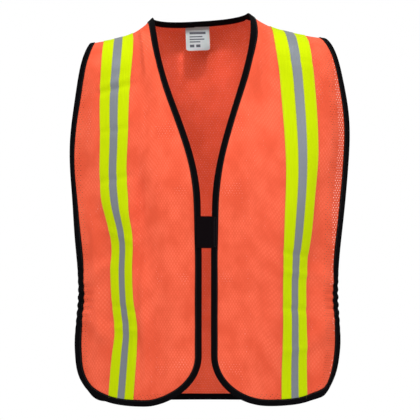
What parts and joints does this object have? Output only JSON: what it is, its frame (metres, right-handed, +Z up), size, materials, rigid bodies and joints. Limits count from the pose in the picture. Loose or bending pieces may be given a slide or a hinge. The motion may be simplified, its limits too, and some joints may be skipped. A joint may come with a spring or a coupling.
{
  "type": "high visibility vest",
  "caption": "Open-sided mesh safety vest with bound edges, lime and silver shoulder tapes, front hook-and-loop closure and side elastics.",
  "frame": {"origin": "level with the two neck points, midway between them, in the plane of the shoulder line", "axes": "+X to the wearer's left, -Y out of the front, +Z up"},
  "size_m": [0.4574, 0.2639, 0.6364],
  "materials": {
    "orange_mesh": "open knitted polyester mesh, fluorescent orange-red",
    "black_binding": "woven polyester binding, matt",
    "lime_tape": "fluorescent lime woven tape, slight sheen",
    "silver_stripe": "retroreflective silver tape, fine weave",
    "black_elastic": "ribbed woven elastic",
    "black_hook_loop": "hook and loop tape, brushed",
    "woven_label": "satin woven label",
    "thread": "polyester thread"
  },
  "bodies": {
    "back": {"back_panel": "orange_mesh", "back_neck_binding": "black_binding", "back_binding": "black_binding", "right_back_tape": "lime_tape", "left_back_tape": "lime_tape", "right_back_stripe": "silver_stripe", "left_back_stripe": "silver_stripe", "right_shoulder_seam": "orange_mesh", "left_shoulder_seam": "orange_mesh", "right_side_elastic": "black_elastic", "left_side_elastic": "black_elastic", "label_stitching": "thread", "back_elastic_stitching": "thread"},
    "right_front": {"right_front_panel": "orange_mesh", "right_front_binding": "black_binding", "right_front_tape": "lime_tape", "right_front_stripe": "silver_stripe", "right_elastic_front_end": "black_elastic", "loop_tab": "black_hook_loop", "loop_stitching": "thread", "right_elastic_stitching": "thread"},
    "left_front": {"left_front_panel": "orange_mesh", "left_front_binding": "black_binding", "left_front_tape": "lime_tape", "left_front_stripe": "silver_stripe", "left_elastic_front_end": "black_elastic", "hook_tab_base": "black_hook_loop", "hook_stitching": "thread", "left_elastic_stitching": "thread"},
    "hook_flap": {"hook_tab": "black_hook_loop"},
    "label": {"neck_label": "woven_label"}
  },
  "joints": [
    {"name": "left_front_swing", "type": "hinge", "parent": "back", "child": "left_front", "pos_m": [0.2125, -0.0463, -0.466], "axis": [0, 0, 1], "range_deg": [0, 60]},
    {"name": "right_front_swing", "type": "hinge", "parent": "back", "child": "right_front", "pos_m": [-0.2125, -0.0463, -0.466], "axis": [0, 0, -1], "range_deg": [0, 60]},
    {"name": "hook_tab_peel", "type": "hinge", "parent": "left_front", "child": "hook_flap", "pos_m": [0.012, -0.143, -0.354], "axis": [0, 0, 1], "range_deg": [0, 135]},
    {"name": "neck_label_flip", "type": "hinge", "parent": "back", "child": "label", "pos_m": [0, 0.0568, -0.0159], "axis": [-1, 0, 0], "range_deg": [0, 80]}
  ],
  "couplings": [
    {"joint": "right_front_swing", "follows": "left_front_swing", "ratio": 1},
    {"joint": "hook_tab_peel", "follows": "left_front_swing", "ratio": 2}
  ]
}
